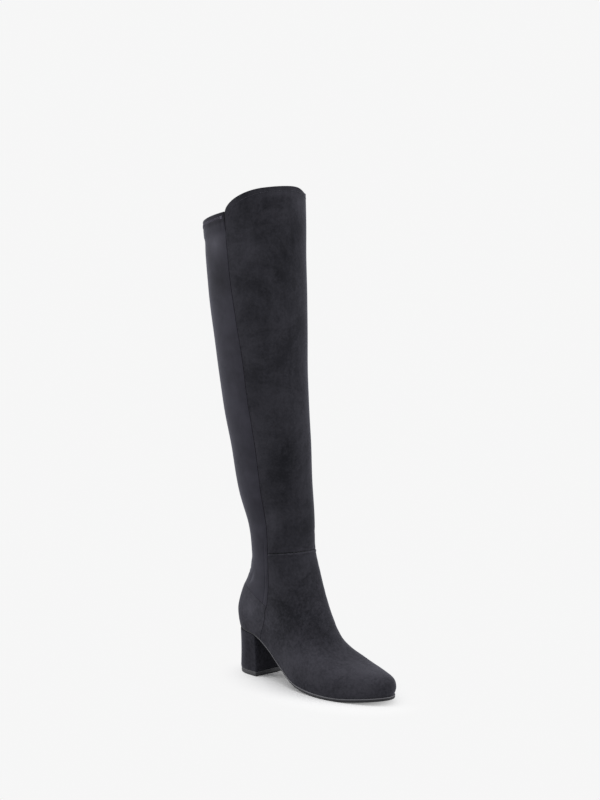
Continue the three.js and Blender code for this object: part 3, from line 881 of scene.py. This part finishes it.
# Outsole
# A thin moulded rubber sole: a rounded bead over a plain edge, a ledge round the forefoot that narrows
# to nothing at the waist, and a plain tread.
waist_thickness = 1.8 * mm
sole_ledge = 1 * mm
seat_inset = 0.5 * mm
tread_flattening = 0.12 * mm
bead_thickness = 1.3 * mm


def ledge(x):
    """Inset of the sole's edge: tucked in at the heel seat, and standing out round the forefoot."""
    return mix(seat_inset, -sole_ledge, smooth_step(x, 0.17 * foot_length, 0.36 * foot_length))


def sole_under(x):
    """Height of the tread: the feather line less the thickness, level under the ball."""
    thickness = mix(waist_thickness, sole_thickness, station("thick", x))
    return np.maximum(feather_height(x) - thickness - tread_flattening, 0)


def rubber_finish(name, dark, light, seat=False):
    """Satin moulded rubber with a faint mottle and rubbed specks. With seat set, its colour is painted
    dark round the seat of the heel as painted shade, where the edge is tucked in between the heel and
    the upper."""
    material, shader, place = new_finish(name, Specular_IOR_Level=0.18)
    mottle = place.noise(160, 4, 0.6)
    specks = place.noise(1300, 2, 0.6)
    shade = (mottle * 0.6 + specks * 0.4).between(0.3, 0.7)
    if seat:
        # Painted shade: dark round the heel's seat, where the edge is tucked in, and lighter from the
        # waist forward.
        shade = shade + place.axis(0).between(21 * mm, 29 * mm) * 3
        shade = shade.between(0, 4)
    link(
        shader,
        Base_Color=shade.tint(dark, light),
        Roughness=mottle * 0.2 + 0.42,
        Normal=(mottle * 0.5 + specks * 0.5).bump(0.06 * mm, 0.5),
    )
    return material


# The bead's lighter grey is partly the rubber's own tone and partly a painted highlight where its
# rounded top catches the light.
sole_bead = rubber_finish("sole_bead", (0.008, 0.008, 0.01), (0.095, 0.094, 0.104), True)
sole_edge = rubber_finish("sole_edge", (0.01, 0.01, 0.012), (0.02, 0.02, 0.023))
tread_rubber = rubber_finish("tread_rubber", (0.014, 0.014, 0.016), (0.024, 0.024, 0.026))


def edge_level(share):
    """Height at a share of the sole's thickness above its underside."""
    return lambda x: mix(sole_under(x), feather_height(x), share)


def edge_inset(extra):
    return lambda x: ledge(x) + extra


def bead_depth(x):
    """Thickness of the bead, which is half the edge's where the edge is thin."""
    return np.minimum(bead_thickness, 0.5 * (feather_height(x) - sole_under(x)))


def bead_level(share):
    """Height at a share of the bead's thickness below its top."""
    return lambda x: feather_height(x) - share * bead_depth(x)


outsole = sole_form("outsole", [
    (edge_inset(1.6 * mm), 0, edge_level(1)),
    (edge_inset(1.6 * mm), 0.6, edge_level(1)),
    (edge_inset(1.2 * mm), 1, edge_level(1)),
    (edge_inset(0.3 * mm), 1, edge_level(1)),
    (edge_inset(0.05 * mm), 1, bead_level(0.12)),
    (edge_inset(-0.05 * mm), 1, bead_level(0.35)),
    (edge_inset(-0.05 * mm), 1, bead_level(0.65)),
    (edge_inset(0.1 * mm), 1, bead_level(0.88)),
    (edge_inset(0.4 * mm), 1, bead_level(1)),
    (edge_inset(0.4 * mm), 1, bead_level(1.15)),
    (edge_inset(0.2 * mm), 1, bead_level(1.3)),
    (edge_inset(0.2 * mm), 1, edge_level(0.3)),
    (edge_inset(0.45 * mm), 1, edge_level(0.1)),
    (edge_inset(0.9 * mm), 1, edge_level(0)),
    (edge_inset(2 * mm), 1, edge_level(0)),
    (edge_inset(2 * mm), 0.6, edge_level(0)),
    (edge_inset(2 * mm), 0, edge_level(0)),
], [sole_bead, sole_edge, tread_rubber], [0] * 8 + [1] * 5 + [2] * 3, 360)
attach(outsole, "boot")
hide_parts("outsole")

# Heel
# A block heel covered in the same suede, wrapped from the back with its edges on the flat front. It is
# screwed to the seat through the outsole.
heel_tip_height = 6 * mm
heel_tread_width = 56 * mm
heel_tread_back = 1 * mm
heel_tread_length = 48 * mm
heel_waist = 0.5 * mm
heel_breast = heel_tread_back + heel_tread_length
corner_round = 1.2 * mm


def heel_outline(level, inset):
    """Plan of the heel at a level from tip (0) to seat (1): rounded at the back like the sole, straight
    sides, and a flat front whose corners are rounded."""
    waist = heel_waist * math.sin(math.pi * level)
    start = mix(heel_tread_back, foot_sections["back"][0] * foot_length, level) + waist + inset
    end = heel_breast - inset
    turn = np.linspace(0, math.pi / 2, 64)
    x = mix(start, end, 1 - np.cos(turn))
    ends = rounded_end((x - start) / foot_length, foot_sections["tail"][0])
    corner = rolled(end - x, corner_round) * corner_round
    outline = []
    for name in ("lateral", "medial"):
        half = mix(heel_tread_width / 2, ball_width * station(name, x), level) - waist - inset
        outline.append(half * ends - corner)
    breast = np.linspace(-outline[0][-1], outline[1][-1], 24)[1:-1]
    xs = np.concatenate([x[::-1], x[1:], np.full(len(breast), end)])
    ys = np.concatenate([-outline[0][::-1], outline[1][1:], breast[::-1]])
    return xs, ys


def heel_form(name, profile, materials, slots=0):
    """A heel from its profile, a list of a level, an inset, a share of its size, and a height."""
    rings = []
    for level, inset, shrink, height in profile:
        x, y = heel_outline(level, inset)
        centre = (heel_breast + heel_tread_back) / 2
        x = mix(centre, x, shrink)
        rings.append(np.stack([x - heel_middle, y * shrink, height(x)], -1))
    return ringed(name, np.array(rings), materials, slots)


def heel_level(level):
    """Height at a level between the tip's top and the sole's underside."""
    low = heel_tip_height + seam_gap
    return lambda x: mix(low, sole_under(x) - bottom_gap, level)


heel_levels = np.linspace(1, 0, 26)
heel_profile = [(1, 0.9 * mm, share, heel_level(1)) for share in (0, 0.5, 1)]
heel_profile += [(1, 0.25 * mm, 1, lambda x: heel_level(1)(x) - 0.25 * mm)]
heel_profile += [(level, 0, 1, heel_level(level)) for level in heel_levels[1:-1]]
heel_profile += [(0, 0.1 * mm, 1, lambda x: heel_level(0)(x) + 0.3 * mm)]
heel_profile += [(0, 0.8 * mm, share, heel_level(0)) for share in (1, 0.5, 0)]
# A darker copy of the suede: painted shade on the heel, which stands in the shade under the boot.
shaded_heel_suede = suede_finish("shaded_heel_suede", (0.0046, 0.0047, 0.0066), (0.044, 0.043, 0.054))
heel = heel_form("heel", heel_profile, [shaded_heel_suede])
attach(heel, "boot")
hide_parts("heel")

# Heel tip
# The rubber top piece that the heel stands on, pinned to the block, with a moulded bead round its top.
tip_inset = 0.4 * mm
# The bead's lighter grey is partly the rubber's own tone and partly a painted highlight along its top.
tip_bead = rubber_finish("tip_bead", (0.045, 0.045, 0.05), (0.068, 0.068, 0.075))
tip_rubber = rubber_finish("tip_rubber", (0.02, 0.02, 0.023), (0.034, 0.034, 0.038))
heel_tip = heel_form("heel_tip", [
    (0, tip_inset + 1 * mm, 0, steady(heel_tip_height)),
    (0, tip_inset + 1 * mm, 0.5, steady(heel_tip_height)),
    (0, tip_inset + 0.5 * mm, 1, steady(heel_tip_height)),
    (0, tip_inset + 0.1 * mm, 1, steady(heel_tip_height - 0.15 * mm)),
    (0, tip_inset, 1, steady(heel_tip_height - 0.5 * mm)),
    (0, tip_inset, 1, steady(heel_tip_height - 1.2 * mm)),
    (0, tip_inset + 0.4 * mm, 1, steady(heel_tip_height - 1.5 * mm)),
    (0, tip_inset + 0.4 * mm, 1, steady(heel_tip_height - 1.8 * mm)),
    (0, tip_inset + 0.15 * mm, 1, steady(heel_tip_height - 2.1 * mm)),
    (0, tip_inset + 0.15 * mm, 1, steady(1 * mm)),
    (0, tip_inset + 0.3 * mm, 1, steady(0.3 * mm)),
    (0, tip_inset + 0.9 * mm, 1, steady(0)),
    (0, tip_inset + 2 * mm, 0.5, steady(0)),
    (0, tip_inset + 2 * mm, 0, steady(0)),
], [tip_bead, tip_rubber, tread_rubber], [0] * 6 + [1] * 4 + [2] * 3)
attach(heel_tip, "boot")
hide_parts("heel_tip")

# Zip
# A coil zip sewn behind the opening of the medial side seam: a woven tape, and closed teeth down its
# middle. It runs from above the sole to a third of the way up the leg.
tape_width = 17 * mm
tape_depth = suede_wall + 0.6 * mm
tape_thickness = 0.8 * mm
tooth_pitch = 1.5 * mm
tooth_size = (3.2 * mm, 0.95 * mm, 1.5 * mm)
tooth_shift = 0.55 * mm
teeth_depth = 1.35 * mm


def tape_finish():
    """Black woven tape with a fine herringbone."""
    material, shader, place = new_finish("zip_tape", Sheen_Weight=0.15, Specular_IOR_Level=0.25)
    weave = place.node("TexWave", {"bands_direction": "DIAGONAL"}, {"Vector": place, "Scale": 420}, 1)
    link(
        shader,
        Base_Color=weave.tint((0.007, 0.007, 0.008), (0.016, 0.016, 0.018)),
        Roughness=weave * 0.15 + 0.7,
        Normal=weave.bump(0.12 * mm, 0.7),
    )
    return material


tape = tape_finish()
tape_v = np.linspace(zip_foot_row - 0.2, zip_top_row + zip_top_taper + 0.02, 130)[:, None]
tape_across = np.linspace(-tape_width / 2, tape_width / 2, 19)[None, :]
tape_angle = -seam_angle(tape_v) + tape_across * angle_per_metre(tape_v, -seam_angle(tape_v))
tape_v = np.broadcast_to(tape_v, tape_angle.shape)
tape_fade = np.minimum(np.abs(tape_across) / (2.6 * mm), 1) ** 6
tape_slack = waviness(skin(tape_v, tape_angle))
tape_outer = raised(tape_v, tape_angle, tape_slack - tape_depth + 0.5 * mm * (1 - tape_fade))
tape_inner = raised(tape_v, tape_angle, tape_slack - tape_depth - tape_thickness)
zip_tape = thin_sheet("zip_tape", tape_outer, tape_inner, tape)
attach(zip_tape, "boot")
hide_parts("zip")


def beads(name, centres, directions, sizes, material, bend=0.0):
    """Small closed capsules, one at each centre. directions are the three unit vectors of each, along,
    across and out, and sizes its length, width and height. Its section is a six-sided oval that narrows
    to the ends, and its middle is lifted by the bend."""
    sides = 6
    lengthwise = np.array([-1, -0.75, 0, 0.75, 1])[:, None]
    fullness = np.array([0.35, 0.85, 1, 0.85, 0.35])[:, None]
    turn = np.arange(sides)[None, :] / sides * 2 * math.pi
    along_way, across_way, out_way = (d[:, None, None, :] for d in directions)
    length, width, height = sizes
    arch = bend * (1 - lengthwise**2)
    local = [
        np.broadcast_to(lengthwise * length / 2, (5, sides)),
        fullness * np.cos(turn) * width / 2,
        fullness * np.sin(turn) * height / 2 + arch,
    ]
    shape = [part[None, :, :, None] for part in local]
    points = centres[:, None, None, :] + along_way * shape[0]
    points = points + across_way * shape[1] + out_way * shape[2]
    index = np.arange(5 * sides).reshape(5, sides)
    side_faces = quads(np.concatenate([index, index[:, :1]], axis=1))
    first, last = index[0], index[-1]
    caps = [[first[0], first[3], first[2], first[1]], [first[0], first[5], first[4], first[3]]]
    caps += [[last[0], last[1], last[2], last[3]], [last[0], last[3], last[4], last[5]]]
    faces = np.concatenate([side_faces, np.array(caps)])
    faces = (faces[None] + (np.arange(len(centres)) * 5 * sides)[:, None, None]).reshape(-1, 4)
    piece = new_object(name, points.reshape(-1, 3), faces, [material])
    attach(piece, "boot")
    return piece


def evenly_spaced(v, a, offset, pitch):
    """Places a pitch apart on a line over the skin, with the line's own direction, the one across it
    and the outward one."""
    on_skin = skin(v, a)
    line = raised(v, a, offset + creased(on_skin) + waviness(on_skin))
    run = np.concatenate([[0], np.cumsum(np.linalg.norm(np.diff(line, axis=0), axis=-1))])
    places = np.arange(pitch / 2, run[-1], pitch)
    rows = np.interp(places, run, np.broadcast_to(v, run.shape))
    angles = np.interp(places, run, np.broadcast_to(a, run.shape))
    centres, ahead, behind = (
        np.stack([np.interp(places + shift, run, line[:, k]) for k in range(3)], -1)
        for shift in (0, 0.3 * mm, -0.3 * mm)
    )
    forward = unit(ahead - behind)
    out = skin_frame(rows, angles)[2]
    return centres, (forward, unit(np.cross(out, forward)), out)


def metal_finish(name, colour, roughness):
    """Plated zinc: polished, with fine rubbed scratches."""
    material, shader, place = new_finish(name, Metallic=1.0)
    rubbed = place.stretched(1, 1, 0.15).noise(2200, 2, 0.6)
    darkening = place.noise(300, 3, 0.6)
    link(
        shader,
        Base_Color=darkening.tint(colour, tuple(0.7 * c for c in colour)),
        Roughness=darkening * 0.2 + roughness,
        Normal=rubbed.bump(0.01 * mm, 0.4),
    )
    return material


gunmetal = metal_finish("gunmetal", (0.34, 0.34, 0.36), 0.22)
coil = metal_finish("zip_teeth", (0.2, 0.2, 0.21), 0.3)
teeth_v = np.linspace(zip_foot_row + 0.05, zip_top_row - 0.2, 400)
centres, (climb, sideways, out) = evenly_spaced(
    teeth_v, -seam_angle(teeth_v), -teeth_depth, tooth_pitch / 2
)
by_turns = np.where(np.arange(len(centres)) % 2, 1, -1)[:, None]
centres = centres + sideways * by_turns * tooth_shift
teeth = beads("zip_teeth", centres, (sideways, climb, out), tooth_size, coil)


# Zip slider and pull tab
# Die-cast and plated. The slider stands at the top of the closed teeth, and the tab swings on its bar.
def softened(name, node, radius, material):
    """A copy of a solid with its flat faces made whole and its edges rounded."""
    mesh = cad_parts[node].data.copy()
    mesh.materials.clear()
    mesh.materials.append(material)
    form = bmesh.new()
    form.from_mesh(mesh)
    bmesh.ops.remove_doubles(form, verts=form.verts, dist=0.002 * mm)
    bmesh.ops.dissolve_limit(form, angle_limit=math.radians(1), verts=form.verts, edges=form.edges)
    form.to_mesh(mesh)
    form.free()
    piece = put_in(name, mesh)
    bevel = piece.modifiers.new("Rounded", "BEVEL")
    bevel.width = radius
    bevel.segments = 2
    bevel.limit_method = "ANGLE"
    bevel.angle_limit = math.radians(35)
    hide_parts(node)
    return piece


slider = softened("slider", "zip_slider", 0.25 * mm, gunmetal)
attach(slider, "boot")
pull = softened("pull", "zip_pull", 0.2 * mm, gunmetal)
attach(pull, "pull_tab")

# Stitches
# Charcoal thread: a row below the turned collar, and a zigzag and a bar tack on the hem behind.
thread = suede_finish("thread", (0.03, 0.03, 0.036), (0.055, 0.055, 0.065))
stitch_pitch = 2.9 * mm
collar_rows = rows_per_metre(collar_row, math.pi)
collar_fan = np.linspace(0, 1, 500)
collar_start, collar_end = (edge(np.array(float(collar_row))) for edge in (seam_angle, medial_front))
collar_angles = mix(collar_start, collar_end, collar_fan)
collar_length = np.linalg.norm(np.diff(skin(collar_row, collar_angles), axis=0), axis=-1).sum()
collar_side = np.minimum(collar_fan, 1 - collar_fan) * collar_length
inside = collar_side > collar_stitch
stitch_drop = collar_trim(np.maximum(collar_side - collar_stitch, 0), collar_angles) + collar_stitch
stitch_rows = (collar_row - stitch_drop * collar_rows)[inside]
centres, directions = evenly_spaced(stitch_rows, collar_angles[inside], 0.08 * mm, stitch_pitch)
beads("collar_stitches", centres, directions, (2.2 * mm, 0.5 * mm, 0.4 * mm), thread, 0.08 * mm)

hem_thread = suede_finish("hem_thread", (0.055, 0.051, 0.068), (0.15, 0.145, 0.17))
zigzag_width = 3.4 * mm
zigzag_pitch = 1.7 * mm
zigzag_rows = stretch_top - zigzag_drop * collar_rows
hem_start, hem_end = (edge(np.array(stretch_top)) for edge in (medial_back, seam_behind))
hem_angles = np.linspace(hem_start + 0.04, hem_end - 0.04, 300)
centres, (forward, across_way, out) = evenly_spaced(zigzag_rows, hem_angles, 0.85 * mm, zigzag_pitch)
by_turns = np.where(np.arange(len(centres)) % 2, 1, -1)[:, None]
slanted = unit(forward * zigzag_pitch + across_way * by_turns * zigzag_width)
ways = (slanted, unit(np.cross(out, slanted)), out)
zigzag_size = (zigzag_width * 1.1, 0.6 * mm, 0.4 * mm)
beads("hem_zigzag", centres, ways, zigzag_size, hem_thread, 0.06 * mm)
tack_rows = zigzag_rows + np.linspace(-1.6, 1.6, 9)[:, None] * mm * collar_rows
tack_size = (3.6 * mm, 0.45 * mm, 0.5 * mm)
for name, tack_angle in (("bar_tack_lateral", hem_end - 0.07), ("bar_tack_medial", hem_start + 0.07)):
    tack = np.stack([skin(row, tack_angle) for row in tack_rows[:, 0]])
    ways = [np.broadcast_to(way, tack.shape) for way in skin_frame(stretch_top, tack_angle)]
    beads(name, tack + ways[2] * 1.1 * mm, ways, tack_size, hem_thread)

# Floor, light and camera
camera_distance = 1.9
camera_height = 500.35 * mm
camera_shift = 97.86 * mm
camera_yaw = math.radians(45.998)
camera_pitch = math.radians(4.698)
framing_turn = math.radians(1.43)
focal_pixels = 1521.2
image_height = 800
sensor_size = 36


def level_ways(yaw):
    """Directions to the right and ahead of a camera that faces along +Y, turned by a yaw."""
    return np.array([math.cos(yaw), math.sin(yaw), 0]), np.array([-math.sin(yaw), math.cos(yaw), 0])


up_way = np.array([0, 0, 1])
right_way, level_way = level_ways(camera_yaw)
camera_place = right_way * camera_shift - level_way * camera_distance + up_way * camera_height
right_way, level_way = level_ways(camera_yaw + framing_turn)
look = level_way * math.cos(camera_pitch) - up_way * math.sin(camera_pitch)
head = up_way * math.cos(camera_pitch) + level_way * math.sin(camera_pitch)
camera_data = bpy.data.cameras.new("camera")
camera_data.sensor_width = sensor_size
camera_data.lens = focal_pixels / image_height * sensor_size
camera = put_in("camera", camera_data)
turn = Matrix([right_way, head, -look]).transposed().to_4x4()
camera.matrix_world = Matrix.Translation(camera_place) @ turn
bpy.context.scene.camera = camera

backdrop = (0.925, 0.925, 0.925, 1)
world = bpy.data.worlds.new("studio")
world.use_nodes = True
world.node_tree.nodes["Background"].inputs["Color"].default_value = backdrop
bpy.context.scene.world = world
bpy.context.scene.view_settings.view_transform = "Standard"


def area_light(name, place, size, power, target=(0.05, 0, 0.3)):
    """A soft square light that faces the boot."""
    data = bpy.data.lights.new(name, "AREA")
    data.size = size
    data.energy = power
    lamp = put_in(name, data)
    away = unit(np.array(place) - np.array(target))
    side = unit(np.cross(up_way, away))
    turned = Matrix([side, np.cross(away, side), away]).transposed().to_4x4()
    lamp.matrix_world = Matrix.Translation(place) @ turned


area_light("top_light", (0.1, -0.3, 2.3), 1.7, 26)
area_light("left_light", (-1.4, -1.5, 0.9), 1.2, 31)
area_light("right_light", (1.5, 1.0, 1.0), 1.0, 20)

floor_material, floor_shader, floor_place = new_finish(
    "floor", Base_Color=(0.64, 0.64, 0.645, 1), Roughness=0.9, Specular_IOR_Level=0.1
)
floor_tree = floor_material.node_tree
glow = floor_tree.nodes.new("ShaderNodeEmission")
glow.inputs["Color"].default_value = backdrop
near_ball = floor_place.spot((0.11, 0, 0), (0.16, 0.1, 1)) * 2.5
near_heel = floor_place.spot((0.01, 0, 0), (0.07, 0.06, 1)) * 0.5
far_off = 1 - (near_ball + near_heel).between(0, 1)
fade = floor_tree.nodes.new("ShaderNodeMixShader")
floor_tree.links.new(far_off.socket, fade.inputs[0])
floor_tree.links.new(floor_shader.outputs[0], fade.inputs[1])
floor_tree.links.new(glow.outputs[0], fade.inputs[2])
floor_tree.links.new(fade.outputs[0], floor_tree.nodes["Material Output"].inputs["Surface"])
floor_reach = 40
floor_radius = np.linspace(0, 1, 30)[:, None] ** 2 * floor_reach
floor_turn = np.linspace(0, 2 * math.pi, 65)[None, :]
floor_points = np.stack([
    floor_radius * np.cos(floor_turn),
    floor_radius * np.sin(floor_turn),
    0 * floor_radius * floor_turn,
], -1)
floor_index = np.arange(floor_points[..., 0].size).reshape(floor_points.shape[:2])
floor = new_object("floor", floor_points.reshape(-1, 3), quads(floor_index), [floor_material])
